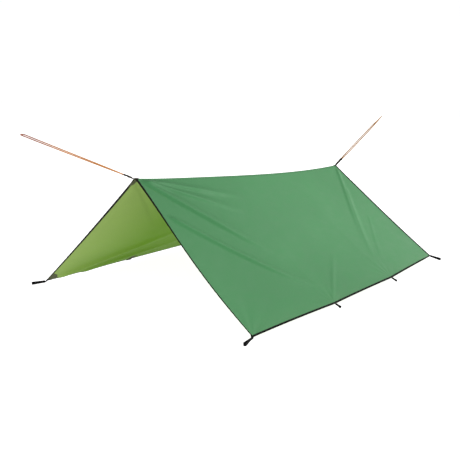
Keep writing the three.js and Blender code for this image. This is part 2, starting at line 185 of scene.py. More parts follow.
def peg_loops():
    """The loops at the four corners, then the two on each hem, a third of its length from each end."""
    loops = []
    for place, kind, inset in (("corner", CORNER_LOOP, 0), ("side", SIDE_LOOP, RIDGE_LENGTH / 3)):
        for (end, name), corner_heading in CORNER_HEADINGS.items():
            loops.append({
                "name": f"{end}_{name}_{place}",
                "side": SIDES[name],
                "along": inset if end == "head" else RIDGE_LENGTH - inset,
                "heading": corner_heading if kind is CORNER_LOOP else 90 * SIDES[name],
                "kind": kind,
            })
    return loops


PEG_LOOPS = peg_loops()

# Tension folds: start and end (along, down), height, and how wide each flank is. The first flank is the one
# on the left when looking from the start to the end with the ridge at the top.
FOLDS = {
    FRONT: [
        ((0.02, 0.02), (1.02, 0.90), 0.0220, (0.080, 0.028)),
        ((0.04, 0.32), (1.18, 1.34), 0.0180, (0.050, 0.030)),
        ((0.04, 0.01), (1.15, 0.25), 0.0130, (0.042, 0.026)),
        ((0.03, 0.02), (1.00, 0.40), 0.0155, (0.046, 0.027)),
        ((1.00, 1.33), (1.75, 0.84), 0.0026, (0.026, 0.026)),
        ((2.98, 0.02), (2.10, 1.04), 0.0075, (0.045, 0.030)),
        ((2.80, 0.28), (1.97, 1.24), 0.0055, (0.045, 0.028)),
        ((2.70, 0.68), (2.04, 1.28), 0.0020, (0.040, 0.022)),
    ],
    BACK: [
        ((0.10, 1.33), (1.50, 0.72), -0.0230, (0.050, 0.085)),
        ((0.35, 1.34), (1.75, 1.06), -0.0140, (0.045, 0.070)),
        ((0.02, 0.02), (1.00, 0.90), 0.0045, (0.060, 0.035)),
        ((2.98, 0.02), (2.02, 1.20), 0.0080, (0.055, 0.022)),
        ((2.95, 0.04), (2.20, 0.60), 0.0045, (0.045, 0.030)),
        ((2.02, 1.32), (1.30, 0.85), 0.0032, (0.028, 0.028)),
    ],
}
FOLD_WIDTH_AT_START = 0.50  # a fold's width where it starts, as a share of its full width
FOLD_RISE_SHARE = 0.07  # the share of its length over which a fold rises, and the share over which it fades
FOLD_FADE_SHARE = 0.60

# Small fans of creases where the cloth is anchored: (along, down), and how far they reach.
ANCHORS = [(0, 0, 0.14), (RIDGE_LENGTH, 0, 0.16), (0, WALL_DEPTH, 0.10), (RIDGE_LENGTH, WALL_DEPTH, 0.12)]
ANCHORS += [(RIDGE_LENGTH / 3, WALL_DEPTH, 0.08), (2 * RIDGE_LENGTH / 3, WALL_DEPTH, 0.08)]
FAN_HEIGHT = 0.0006
FAN_WAVES = 13

PUCKER_HEIGHT = 0.0007
PUCKER_PITCH = 0.043
PUCKER_FADE = 0.030
PUCKER_BEAT = 4.3  # puckers from one high stretch to the next
CREASE_ONSET = 0.05  # the cloth is uncreased at the ridge seam, and fully creased this far down


# ---------------------------------------------------------------- the pitched sheet

def lerp(a, b, share):
    return a + (b - a) * share


def smooth(share):
    share = np.clip(share, 0, 1)
    return share * share * (3 - 2 * share)


def ridge_height(along):
    share = np.clip(along / RIDGE_LENGTH, 0, 1)
    dip = np.clip(np.sin(np.pi * share**RIDGE_SAG_SKEW), 0, 1) ** RIDGE_SAG_FULLNESS
    return lerp(HEAD_HEIGHT, FOOT_HEIGHT, share) - RIDGE_SAG * dip


def hem_reach(side, along):
    share = np.clip(along / RIDGE_LENGTH, 0, 1)
    span = 3 * share
    in_span = span - np.minimum(np.floor(span), 2)
    pulled = lerp(*SPREAD[side], share) + np.minimum(np.minimum(span, 1), 3 - span) * PULL[side]
    rise = ridge_height(along) - HEM_CLEARANCE[side]
    return np.sqrt(WALL_DEPTH**2 - rise**2) + pulled - 4 * DRAW_IN[side] * in_span * (1 - in_span)


def hollow_depth(side, along):
    head, middle, foot = HOLLOW[side]
    share = along / RIDGE_LENGTH
    return lerp(head, foot, share) + 4 * share * (1 - share) * (middle - (head + foot) / 2)


def peak_share(side, along, down):
    """How much of the ridge peak's draw reaches a point of the sheet."""
    up_the_wall = np.clip(1 - down / WALL_DEPTH, 0, None)
    return np.exp(-along / PEAK_FADE_ALONG) * up_the_wall ** PEAK_FADE_DOWN[side]


def flare(side, along, down):
    in_span = np.clip(1 - (RIDGE_LENGTH - along) / FLARE_SPAN, 0, 1)
    return FLARE_REACH[side] * in_span**2 * down / WALL_DEPTH


def fold_height(side, along, down):
    """How far the tension folds lift the cloth."""
    total = np.zeros(np.broadcast(along, down).shape)
    for start, end, height, flanks in FOLDS[side]:
        span = np.subtract(end, start)
        length = np.linalg.norm(span)
        way = span / length
        share = ((along - start[0]) * way[0] + (down - start[1]) * way[1]) / length
        off = (along - start[0]) * way[1] - (down - start[1]) * way[0]
        growth = lerp(FOLD_WIDTH_AT_START, 1, np.clip(share, 0, 1))
        flank = np.where(off > 0, *flanks) * growth
        strength = smooth(share / FOLD_RISE_SHARE) * smooth((1 - share) / FOLD_FADE_SHARE)
        total = total + height * strength * np.exp(-((off / flank) ** 2))
    return total


def fan_height(side, along, down):
    """Short creases that fan out from each anchored point."""
    total = 0
    for number, (at_along, at_down, reach) in enumerate(ANCHORS):
        x, y = along - at_along, down - at_down
        distance = np.sqrt(x * x + y * y)
        wave = np.cos(FAN_WAVES * np.arctan2(y, x) + 1.7 * number + side)
        total = total + FAN_HEIGHT * wave * (distance / reach) * np.exp(1 - distance / reach)
    return total


def pucker_height(along, down):
    """Small ripples along the sewn edges."""
    total = 0
    for run, off in ((along, WALL_DEPTH - down), (down, along), (down, RIDGE_LENGTH - along)):
        beat = 0.6 + 0.4 * np.sin(run * 2 * np.pi / (PUCKER_BEAT * PUCKER_PITCH))
        wave = np.sin(run * 2 * np.pi / PUCKER_PITCH + 3 * beat)
        total = total + PUCKER_HEIGHT * beat * wave * np.exp(-np.abs(off) / PUCKER_FADE)
    return total


def cloth_middle(side, along, down):
    """Where the middle of the cloth is. A negative down lies on the other side of the ridge."""
    over, down = np.sign(down) + (down == 0), np.abs(down)
    rise, reach = ridge_height(along) - HEM_CLEARANCE[side], hem_reach(side, along)
    chord = np.hypot(rise, reach)
    share = down / WALL_DEPTH
    creases = fold_height(side, along, down) + fan_height(side, along, down) + pucker_height(along, down)
    hollow = hollow_depth(side, along) * np.sin(np.pi * np.clip(share, 0, None) ** HOLLOW_SKEW[side])
    outward = creases * smooth(down / CREASE_ONSET) - hollow
    peak = peak_share(side, along, down)
    x = along - RIDGE_LENGTH / 2 - PEAK_REACH * peak + flare(side, along, down)
    out = reach * share + outward * rise / chord
    up = HEM_CLEARANCE[side] + rise * (1 - share) + outward * reach / chord + PEAK_RISE * peak
    rounded = np.sqrt(out * out + RIDGE_ROUND**2) - np.abs(out)
    rounded = rounded - RIDGE_ROUND * np.exp(-down / RIDGE_ROUND_FADE)
    return np.stack(np.broadcast_arrays(x, side * over * out, up - rise / reach * rounded), axis=-1)


def unit(vectors):
    return vectors / np.linalg.norm(vectors, axis=-1, keepdims=True)


def cloth_normal(side, along, down):
    """The cloth's outward direction."""
    h = SLOPE_STEP
    across = cloth_middle(side, along + h, down) - cloth_middle(side, along - h, down)
    downward = cloth_middle(side, along, down + h) - cloth_middle(side, along, down - h)
    return unit(side * np.cross(across, downward))


def on_cloth(side, along, down, lift=0.0):
    along, down = np.asarray(along, float), np.asarray(down, float)
    lifted = np.asarray(lift)[..., None] * cloth_normal(side, along, down)
    return cloth_middle(side, along, down) + lifted


# ---------------------------------------------------------------- meshes

def grid_faces(rows, columns, offset=0, flip=False, closed=False):
    """Quads over a grid of points. A closed grid joins its last column to its first."""
    r, c = np.meshgrid(np.arange(rows - 1), np.arange(columns if closed else columns - 1), indexing="ij")
    r, c = r.ravel(), c.ravel()
    right = (c + 1) % columns
    here, below = r * columns, (r + 1) * columns
    quads = np.stack([here + c, here + right, below + right, below + c], 1)
    return (quads[:, ::-1] if flip else quads) + offset


def make_object(name, points, faces, materials, indices=None, uv=None, smooth_faces=True):
    mesh = bpy.data.meshes.new(name)
    faces = [tuple(int(i) for i in f) for f in faces]
    mesh.from_pydata([tuple(map(float, p)) for p in points], [], faces)
    for material in materials:
        mesh.materials.append(material)
    if indices is not None:
        mesh.polygons.foreach_set("material_index", np.asarray(indices, np.int32))
    mesh.polygons.foreach_set("use_smooth", np.full(len(mesh.polygons), smooth_faces))
    if uv is not None:
        corners = np.zeros(len(mesh.loops), np.int32)
        mesh.loops.foreach_get("vertex_index", corners)
        layer = mesh.uv_layers.new(name="weave")
        layer.data.foreach_set("uv", np.asarray(uv, np.float32)[corners].ravel())
    mesh.update()
    made = bpy.data.objects.new(name, mesh)
    bpy.context.scene.collection.objects.link(made)
    return made


class Parts:
    """Collects points, faces, material numbers and UVs for one object made of several shells."""

    def __init__(self):
        self.points, self.faces, self.indices, self.uv, self.count = [], [], [], [], 0

    def add(self, points, faces, material=0, uv=None):
        points = np.asarray(points, float).reshape(-1, 3)
        self.points.append(points)
        self.faces += [tuple(int(i) + self.count for i in f) for f in faces]
        self.indices += [material] * len(faces)
        self.uv.append(np.zeros((len(points), 2)) if uv is None else np.asarray(uv, float).reshape(-1, 2))
        self.count += len(points)

    def build(self, name, materials):
        uv = np.concatenate(self.uv)
        return make_object(name, np.concatenate(self.points), self.faces, materials, self.indices, uv)


def add_shell(parts, outer, inner, uv, inner_material=0):
    """A closed sheet between two grids of points, with a rim round it."""
    rows, columns = outer.shape[:2]
    n = rows * columns
    faces = np.concatenate([grid_faces(rows, columns), grid_faces(rows, columns, n, flip=True)])
    top = np.arange(columns)
    edge = np.concatenate([
        top, np.arange(1, rows) * columns + columns - 1,
        (rows - 1) * columns + top[-2::-1], np.arange(rows - 2, 0, -1) * columns,
    ])
    after = np.roll(edge, -1)
    rim = np.stack([after, edge, edge + n, after + n], 1)
    a, b, c = (outer.reshape(-1, 3)[faces[0][k]] for k in range(3))
    toward = np.dot(np.cross(b - a, c - a), (outer - inner)[0, 0])
    everything = np.concatenate([faces, rim])
    if toward < 0:
        everything = everything[:, ::-1]
    points = np.concatenate([outer.reshape(-1, 3), inner.reshape(-1, 3)])
    both_uv = np.concatenate([uv.reshape(-1, 2)] * 2)
    start = len(parts.indices)
    parts.add(points, everything, 0, both_uv)
    half = len(faces) // 2
    parts.indices[start + half:start + 2 * half] = [inner_material] * half


def add_tube(parts, rings, uv):
    """A closed tube through rings of points, rings[i, k] being point k of ring i."""
    count, sides = rings.shape[:2]
    body = grid_faces(count, sides, closed=True)
    caps = [tuple(range(sides)), tuple((count - 1) * sides + k for k in reversed(range(sides)))]
    a, b, c = (rings.reshape(-1, 3)[body[0][k]] for k in range(3))
    outward = np.dot(np.cross(b - a, c - a), a - rings[0].mean(0))
    faces = [tuple(f) for f in body] + [c[::-1] for c in caps]
    if outward < 0:
        faces = [f[::-1] for f in faces]
    parts.add(rings, faces, 0, uv)


def run_along(line):
    """The distance from the start of a line to each of its points."""
    return np.concatenate([[0], np.cumsum(np.linalg.norm(np.diff(line, axis=0), axis=1))])


def between(where, stations, track):
    """A track of 3-D values, known at these stations, read off at other places."""
    return np.stack([np.interp(where, stations, track[:, k]) for k in range(3)], 1)


def add_stitches(parts, points, normals, pitch=STITCH_PITCH, length=STITCH_LENGTH):
    """A row of stitches along a line of points that lie on a face with these normals."""
    run = run_along(points)
    starts = np.arange(pitch / 2, run[-1] - length, pitch)
    normal = unit(between(starts, run, normals))
    first, last = between(starts, run, points), between(starts + length, run, points)
    sideways = unit(np.cross(last - first, normal))
    rings = []
    for share, wide, high in STITCH_SHAPE:
        middle = lerp(first, last, share)
        half = sideways * THREAD_HALF * wide
        top = middle + normal * 2 * THREAD_HALF * high
        rings.append(np.stack([middle - half, top, middle + half, middle - normal * THREAD_HALF], 1))
    block = np.stack(rings, 1)
    faces = np.concatenate([grid_faces(3, 4, closed=True), [[3, 2, 1, 0], [8, 9, 10, 11]]])
    count = len(starts)
    every = (faces[None] + 12 * np.arange(count)[:, None, None]).reshape(-1, 4)
    parts.add(block, every, THREAD_SLOT)


def stitch_on_cloth(parts, side, alongs, downs, lift):
    """A row of stitches at this lift: outside the wall where it is positive, inside where it is negative."""
    alongs, downs = np.broadcast_arrays(np.asarray(alongs, float), np.asarray(downs, float))
    facing = 1 if lift > 0 else -1
    normals = cloth_normal(side, alongs, downs) * facing
    add_stitches(parts, on_cloth(side, alongs, downs, lift), normals)


def steps_between(low, high):
    return np.linspace(low, high, max(2, round((high - low) / GRID_STEP) + 1))


# ---------------------------------------------------------------- materials

class Shader:
    """A material's node tree round one Principled BSDF."""

    def __init__(self, name, **constants):
        self.material = bpy.data.materials.new(name)
        self.material.use_nodes = True
        self.tree = self.material.node_tree
        self.surface = next(n for n in self.tree.nodes if n.type == "BSDF_PRINCIPLED")
        for socket, value in constants.items():
            self.surface.inputs[socket.replace("_", " ")].default_value = value
        self.weave = self.node("ShaderNodeUVMap", {"uv_map": "weave"}).outputs["UV"]
        self.place = self.node("ShaderNodeTexCoord").outputs["Object"]

    def node(self, kind, settings=None, inputs=None):
        made = self.tree.nodes.new(kind)
        for key, value in (settings or {}).items():
            setattr(made, key, value)
        for key, value in (inputs or {}).items():
            if isinstance(value, bpy.types.NodeSocket):
                self.tree.links.new(value, made.inputs[key])
            else:
                made.inputs[key].default_value = value
        return made

    def calc(self, operation, a, b=0.0, c=0.0):
        made = self.node("ShaderNodeMath", {"operation": operation}, {0: a, 1: b, 2: c})
        return made.outputs[0]

    def noise(self, scale, detail=3.0, stretch=None):
        vector = self.place
        if stretch:
            vector = self.node("ShaderNodeMapping", None, {"Vector": vector, "Scale": stretch}).outputs[0]
        made = self.node("ShaderNodeTexNoise", None, {"Vector": vector, "Scale": scale, "Detail": detail})
        return made.outputs["Fac"]

    def ramp(self, value, low, high, to_low=0.0, to_high=1.0):
        inputs = {"Value": value, "From Min": low, "From Max": high, "To Min": to_low, "To Max": to_high}
        return self.node("ShaderNodeMapRange", None, inputs).outputs[0]

    def mix(self, share, a, b):
        made = self.node("ShaderNodeMix", {"data_type": "RGBA"})
        for socket, value in ((made.inputs[0], share), (made.inputs[6], a), (made.inputs[7], b)):
            if isinstance(value, bpy.types.NodeSocket):
                self.tree.links.new(value, socket)
            else:
                socket.default_value = value
        return made.outputs[2]

    def split(self, vector):
        return self.node("ShaderNodeSeparateXYZ", None, {0: vector}).outputs

    def plain_weave(self, u, v, phase):
        """Threads that pass over and under each other, from -1 to 1."""
        warp, weft = (self.calc("SINE", self.calc("MULTIPLY", w, phase)) for w in (u, v))
        return self.calc("MULTIPLY", warp, weft)

    def bump(self, height, distance, strength, under=None):
        inputs = {"Height": height, "Distance": distance, "Strength": strength}
        if under:
            inputs["Normal"] = under
        return self.node("ShaderNodeBump", None, inputs).outputs[0]

    def out(self, **sockets):
        for socket, value in sockets.items():
            self.tree.links.new(value, self.surface.inputs[socket.replace("_", " ")])
        return self.material


def colour(red, green, blue):
    """An sRGB colour, 0 to 255, as the linear values that a shader takes."""
    def linear(value):
        value /= 255
        return value / 12.92 if value <= 0.04045 else ((value + 0.055) / 1.055) ** 2.4
    return (linear(red), linear(green), linear(blue), 1.0)


def scaled(rgba, factor):
    return (rgba[0] * factor, rgba[1] * factor, rgba[2] * factor, 1.0)


CLOTH_WEAVE = 4200  # the weaves' phase, in radians per metre
HEAVY_WEAVE = 5200
RIPSTOP_PITCH = 0.006
DUST = (128, 124, 96)
SHADE_FADE = 0.85  # how far in from an open end the inside's painted shade is whole
HEM_SHADE = (0.95, 1.30)  # the depths between which the inside's painted shade grows darker still
PEAK_SHADE_FADE = 1.5  # how far from the head end of the ridge its painted shade ends


def coated_cloth(name, rgba, roughness, specular=0.15, shade_rgba=None, peak_shade_rgba=None):
    """Thin coated ripstop: plain weave, a thicker thread every few millimetres, handling creases and dust.

    Two tones stand in for shade that the lamps don't give: shade_rgba, away from the open ends and most of all
    near the hem, and peak_shade_rgba, round the head end of the ridge.
    """
    s = Shader(name, Sheen_Weight=0.02, Sheen_Roughness=0.5, Specular_IOR_Level=specular)
    u, v = s.split(s.weave)[:2]
    thread = s.plain_weave(u, v, CLOTH_WEAVE)
    cells = [s.calc("FRACT", s.calc("DIVIDE", w, RIPSTOP_PITCH)) for w in (u, v)]
    lines = [s.calc("ABSOLUTE", s.calc("SUBTRACT", cell, 0.5)) for cell in cells]
    grid = s.ramp(s.calc("MAXIMUM", lines[0], lines[1]), 0.43, 0.47)
    handled = s.noise(9.0, 5.0, stretch=(1.0, 1.6, 1.6))
    fine = s.noise(60.0, 4.0)
    broad = s.noise(1.3, 2.0)
    tone = s.mix(s.ramp(broad, 0.35, 0.65), scaled(rgba, 0.955), scaled(rgba, 1.045))
    tone = s.mix(s.ramp(handled, 0.40, 0.75, 0.0, 0.35), tone, scaled(rgba, 1.10))
    # Painted shade inside: darker away from the two open ends, and darker still near the hem.
    if shade_rgba:
        from_middle = s.calc("ABSOLUTE", s.calc("SUBTRACT", u, RIDGE_LENGTH / 2))
        shade_share = s.ramp(from_middle, RIDGE_LENGTH / 2, RIDGE_LENGTH / 2 - SHADE_FADE)
        tone = s.mix(shade_share, tone, shade_rgba)
        tone = s.mix(s.calc("MULTIPLY", shade_share, s.ramp(v, *HEM_SHADE)), tone, scaled(shade_rgba, 0.85))
    # Painted shade outside: darker round the head end of the ridge.
    if peak_shade_rgba:
        from_peak = s.calc("SQRT", s.calc("ADD", s.calc("MULTIPLY", u, u), s.calc("MULTIPLY", v, v)))
        tone = s.mix(s.ramp(from_peak, 0.1, PEAK_SHADE_FADE, 1.0, 0.0), tone, peak_shade_rgba)
    tone = s.mix(s.calc("MULTIPLY", grid, 0.35), tone, scaled(rgba, 0.86))
    dust = s.calc("MULTIPLY", s.ramp(v, 1.22, 1.36, 0.0, 0.08), s.ramp(fine, 0.42, 0.62))
    tone = s.mix(dust, tone, colour(*DUST))
    bump = s.bump(thread, 0.00006, 0.25)
    bump = s.bump(grid, 0.00012, 0.35, bump)
    bump = s.bump(fine, 0.0006, 0.12, bump)
    bump = s.bump(handled, 0.006, 0.14, bump)
    worn = s.calc("ADD", s.calc("MULTIPLY", handled, 0.7), s.calc("MULTIPLY", fine, 0.3))
    rough = s.ramp(worn, 0.3, 0.7, roughness - 0.07, roughness + 0.07)
    return s.out(Base_Color=tone, Roughness=rough, Normal=bump)


def heavy_cloth(name, rgba):
    """Coarser basket weave for the reinforcements."""
    s = Shader(name, Sheen_Weight=0.05, Specular_IOR_Level=0.2)
    basket = s.plain_weave(*s.split(s.weave)[:2], HEAVY_WEAVE)
    worn = s.noise(45.0, 5.0)
    tone = s.mix(s.ramp(basket, -1, 1), scaled(rgba, 0.86), scaled(rgba, 1.10))
    tone = s.mix(s.ramp(worn, 0.45, 0.75, 0, 0.5), tone, scaled(rgba, 1.28))
    bump = s.bump(worn, 0.0006, 0.3, s.bump(basket, 0.00025, 0.6))
    return s.out(Base_Color=tone, Roughness=s.ramp(worn, 0.3, 0.7, 0.68, 0.86), Normal=bump)


def ribbed_tape(name, rgba, rib, worn_rgba):
    """Binding and webbing: ribs across the width and wear on the high threads."""
    s = Shader(name, Sheen_Weight=0.02, Sheen_Roughness=0.4, Specular_IOR_Level=0.08)
    u, v = s.split(s.weave)[:2]
    ribs = s.calc("SINE", s.calc("MULTIPLY", u, 2 * math.pi / rib))
    aslant = s.calc("ADD", s.calc("MULTIPLY", u, 0.6), v)
    twill = s.calc("SINE", s.calc("MULTIPLY", aslant, 2 * math.pi / (rib * 1.3)))
    weave = s.calc("MULTIPLY_ADD", twill, 0.45, ribs)
    worn = s.noise(38.0, 6.0)
    tone = s.mix(s.ramp(weave, -1.3, 1.3), scaled(rgba, 0.7), scaled(rgba, 1.25))
    high = s.calc("MULTIPLY", s.ramp(worn, 0.50, 0.72), s.ramp(weave, -0.2, 1.2))
    tone = s.mix(s.calc("MULTIPLY", high, 0.55), tone, worn_rgba)
    bump = s.bump(worn, 0.0005, 0.25, s.bump(weave, 0.0003, 0.7))
    return s.out(Base_Color=tone, Roughness=s.ramp(worn, 0.3, 0.7, 0.74, 0.92), Normal=bump)


def sewing_thread(name, rgba):
    s = Shader(name, Sheen_Weight=0.3, Specular_IOR_Level=0.4)
    twist = s.noise(900.0, 2.0)
    tone = s.mix(s.ramp(twist, 0.35, 0.65), scaled(rgba, 0.8), scaled(rgba, 1.2))
    roughness = s.ramp(twist, 0.3, 0.7, 0.5, 0.7)
    return s.out(Base_Color=tone, Roughness=roughness, Normal=s.bump(twist, 0.0002, 0.4))


BRAID_PITCH = 0.0052
BRAID_STRANDS = 4
BIGHT_WEAR = 0.34  # how far from a cord's bight its other tone ends


def braided_cord(name, length, rgba, fleck_rgba, bight_rgba):
    """A braided sheath: strands wound both ways, a paler tracer strand, and another tone at its bight."""
    s = Shader(name, Sheen_Weight=0.06, Sheen_Roughness=0.4, Specular_IOR_Level=0.2)
    u, v = s.split(s.weave)[:2]
    run = s.calc("MULTIPLY", u, 2 * math.pi / BRAID_PITCH)
    turn = s.calc("MULTIPLY", v, 2 * math.pi * BRAID_STRANDS)
    right = s.calc("SINE", s.calc("ADD", run, turn))
    left = s.calc("SINE", s.calc("SUBTRACT", run, turn))
    over = s.calc("SINE", s.calc("ADD", s.calc("MULTIPLY", run, 0.5), turn))
    braid = s.calc("MAXIMUM", s.calc("MULTIPLY", right, s.ramp(over, -0.2, 0.2, 0.5, 1.0)), left)
    tracer = s.calc("SINE", s.calc("MULTIPLY_ADD", v, 2 * math.pi, s.calc("MULTIPLY", run, 0.25)))
    soiled = s.noise(30.0, 5.0)
    tone = s.mix(s.ramp(braid, -0.6, 1.0), scaled(rgba, 0.95), scaled(rgba, 1.03))
    tone = s.mix(s.calc("MULTIPLY", s.ramp(tracer, 0.80, 0.95), 0.12), tone, fleck_rgba)
    tone = s.mix(s.ramp(soiled, 0.50, 0.8, 0.0, 0.30), tone, scaled(rgba, 0.60))
    from_bight = s.calc("ABSOLUTE", s.calc("SUBTRACT", u, length / 2))
    tone = s.mix(s.ramp(from_bight, 0.10, BIGHT_WEAR, 0.8, 0.0), tone, bight_rgba)
    bump = s.bump(soiled, 0.0003, 0.2, s.bump(braid, 0.0003, 0.35))
    return s.out(Base_Color=tone, Roughness=s.ramp(soiled, 0.3, 0.7, 0.62, 0.82), Normal=bump)


def moulded_plastic(name, rgba):
    s = Shader(name, Specular_IOR_Level=0.2)
    grain = s.noise(1400.0, 3.0)
    scuffs = s.noise(90.0, 6.0, stretch=(1.0, 4.0, 1.0))
    tone = s.mix(s.ramp(scuffs, 0.55, 0.78, 0.0, 0.45), rgba, scaled(rgba, 2.0))
    bump = s.bump(scuffs, 0.0003, 0.2, s.bump(grain, 0.00012, 0.5))
    return s.out(Base_Color=tone, Roughness=s.ramp(scuffs, 0.3, 0.75, 0.36, 0.58), Normal=bump)


def pale_floor():
    """A white shooting table, softly lit from below."""
    s = Shader("pale_floor", Roughness=0.9, Specular_IOR_Level=0.1, Emission_Strength=0.92)
    s.surface.inputs["Emission Color"].default_value = (1, 1, 1, 1)
    cloudy = s.noise(0.6, 3.0)
    return s.out(Base_Color=s.mix(cloudy, colour(205, 205, 205), colour(212, 212, 212)))


GREEN = colour(76, 143, 90)
# The inner face's lime is painted light: lighter and yellower than the green, it stands in for light shining
# through the thin cloth.
LIME = colour(134, 158, 86)
# The inside's painted shade colour, darker than the lime above it.
SHADED_LIME = colour(96, 134, 36)
KHAKI = colour(42, 35, 22)
OLIVE = colour(66, 70, 38)

# Each line's colour, its tracer strand's and its bight's.
CORD_COLOURS = {
    "head": (colour(180, 118, 60), colour(206, 162, 116), colour(132, 84, 78)),
    "foot": (colour(160, 106, 18), colour(200, 150, 84), colour(182, 128, 60)),
}

# The outside has painted shade round the head end of the ridge.
OUTSIDE = coated_cloth("ripstop_outside", GREEN, 0.60, peak_shade_rgba=scaled(GREEN, 0.80))
# The inside has painted shade away from the open ends and near the hem.
INSIDE = coated_cloth("ripstop_inside", LIME, 0.66, specular=0.03, shade_rgba=SHADED_LIME)
SEAM_CLOTH = coated_cloth("ridge_seam_cloth", scaled(GREEN, 0.93), 0.62)
PATCH_CLOTH = heavy_cloth("reinforcement_cloth", OLIVE)
BINDING = ribbed_tape("edge_binding", colour(10, 11, 7), 0.0016, colour(34, 34, 22))
RIDGE_STRAP = ribbed_tape("ridge_webbing", KHAKI, 0.0022, scaled(KHAKI, 1.5))
STRAP = ribbed_tape("black_webbing", colour(9, 9, 10), 0.0022, colour(30, 29, 28))
THREAD = sewing_thread("dark_thread", colour(40, 62, 44))
BLACK_THREAD = sewing_thread("black_thread", colour(34, 34, 34))
PLASTIC = moulded_plastic("dark_plastic", colour(16, 13, 10))
CORDS = {
    end: braided_cord(f"{end}_guyline_braid", LINES[end]["cord_length"], *CORD_COLOURS[end]) for end in ENDS
}


# ---------------------------------------------------------------- camera, light and floor

CAMERA_PLACE = (-4.905, -3.241, 1.527)
CAMERA_YAW = math.radians(35.58)
CAMERA_PITCH = math.radians(-11.23)
CAMERA_ROLL = math.radians(1.59)
LENS = 52.70
SENSOR_WIDTH = 36


def add_camera():
    """The view from beside the head end, a little above the ridge."""
    flat = math.cos(CAMERA_PITCH)
    forward = Vector((math.cos(CAMERA_YAW) * flat, math.sin(CAMERA_YAW) * flat, math.sin(CAMERA_PITCH)))
    level = forward.cross(Vector((0, 0, 1))).normalized()
    raised = level.cross(forward)
    right = math.cos(CAMERA_ROLL) * level + math.sin(CAMERA_ROLL) * raised
    up = math.cos(CAMERA_ROLL) * raised - math.sin(CAMERA_ROLL) * level
    turn = Matrix((right, up, -forward)).transposed().to_4x4()
    camera = bpy.data.objects.new("camera", bpy.data.cameras.new("camera"))
    camera.matrix_world = Matrix.Translation(CAMERA_PLACE) @ turn
    camera.data.lens = LENS
    camera.data.sensor_width = SENSOR_WIDTH
    bpy.context.scene.collection.objects.link(camera)
    bpy.context.scene.camera = camera


FLOOR_HALF = 60.0
WHITE_WALLS_TO_DIM_CEILING = {"From Min": 0.2, "From Max": 0.45, "To Min": 1.02, "To Max": 0.42}
LAMPS = [
    {"name": "key", "place": (20.0, -11.0, 12.6), "target": (0.2, -0.3, 0.4), "size": 6.0, "power": 3950},
    {"name": "fill", "place": (-6.0, -1.2, 1.4), "target": (0.0, 0.4, 0.4), "size": 1.6, "power": 60},
]


def add_softbox(name, place, target, size, power):
    light = bpy.data.lights.new(name, "AREA")
    light.shape = "DISK"
    light.size = size
    light.energy = power
    lamp = bpy.data.objects.new(name, light)
    lamp.location = place
    lamp.visible_camera = False
    lamp.rotation_mode = "QUATERNION"
    lamp.rotation_quaternion = (Vector(target) - Vector(place)).to_track_quat("-Z", "Y")
    bpy.context.scene.collection.objects.link(lamp)


def add_studio():
    world = bpy.data.worlds.new("studio")
    world.use_nodes = True
    tree = world.node_tree
    background = next(n for n in tree.nodes if n.type == "BACKGROUND")
    direction = tree.nodes.new("ShaderNodeTexCoord")
    height = tree.nodes.new("ShaderNodeSeparateXYZ")
    fade = tree.nodes.new("ShaderNodeMapRange")
    tree.links.new(direction.outputs["Generated"], height.inputs[0])
    tree.links.new(height.outputs["Z"], fade.inputs["Value"])
    for socket, value in WHITE_WALLS_TO_DIM_CEILING.items():
        fade.inputs[socket].default_value = value
    tree.links.new(fade.outputs[0], background.inputs["Strength"])
    background.inputs["Color"].default_value = (1.0, 1.0, 1.0, 1.0)
    bpy.context.scene.world = world
    for lamp in LAMPS:
        add_softbox(**lamp)
    corners = [(x * FLOOR_HALF, y * FLOOR_HALF, 0) for x, y in ((-1, -1), (1, -1), (1, 1), (-1, 1))]
    floor = make_object("floor", corners, [(0, 1, 2, 3)], [pale_floor()], smooth_faces=False)
    bpy.context.scene.view_settings.view_transform = "Standard"


# ---------------------------------------------------------------- guylines, ridge loops and buckles

def smooth_line(points, step):
    """A centripetal Catmull-Rom curve through the points, sampled about every step."""
    points = np.asarray(points, float)
    ends = [2 * points[0] - points[1], 2 * points[-1] - points[-2]]
    padded = np.concatenate([[ends[0]], points, [ends[1]]])
    line = []
    for p in (padded[i:i + 4] for i in range(len(points) - 1)):
        knots = np.concatenate([[0], np.cumsum(np.linalg.norm(np.diff(p, axis=0), axis=1) ** 0.5)])
        count = max(2, math.ceil(np.linalg.norm(p[2] - p[1]) / step))
        t = np.linspace(knots[1], knots[2], count, endpoint=False)[:, None]
        def blend(a, b, low, high):
            return (a * (knots[high] - t) + b * (t - knots[low])) / (knots[high] - knots[low])
        pairs = [blend(p[k], p[k + 1], k, k + 1) for k in range(3)]
        triples = [blend(pairs[k], pairs[k + 1], k, k + 2) for k in range(2)]
        line.append(blend(*triples, 1, 2))
    return np.concatenate(line + [points[-1:]])


def line_frame(end):
    """The frame of one end's line: X out along it, Y across, Z above, from the root of its ridge loop."""
    line = LINES[end]
    along = 0.0 if line["facing"] < 0 else RIDGE_LENGTH
    peak = float(peak_share(FRONT, along, 0))
    x = along - RIDGE_LENGTH / 2 - PEAK_REACH * peak + line["facing"] * RIDGE_LOOP_GAP
    root = Vector((x, 0, float(ridge_height(along)) + PEAK_RISE * peak))
    turn = Matrix.Rotation(math.pi if line["facing"] < 0 else 0, 4, "Z")
    return Matrix.Translation(root) @ turn @ Matrix.Rotation(-line["climb"], 4, "Y")


def buckle_bar(line):
    """How far out along a line the bar of its buckle is."""
    return line["loop_length"] - WEBBING - RIDGE_LOOP_EYE


def placed(matrix, points):
    m = np.array(matrix)
    return np.asarray(points, float) @ m[:3, :3].T + m[:3, 3]


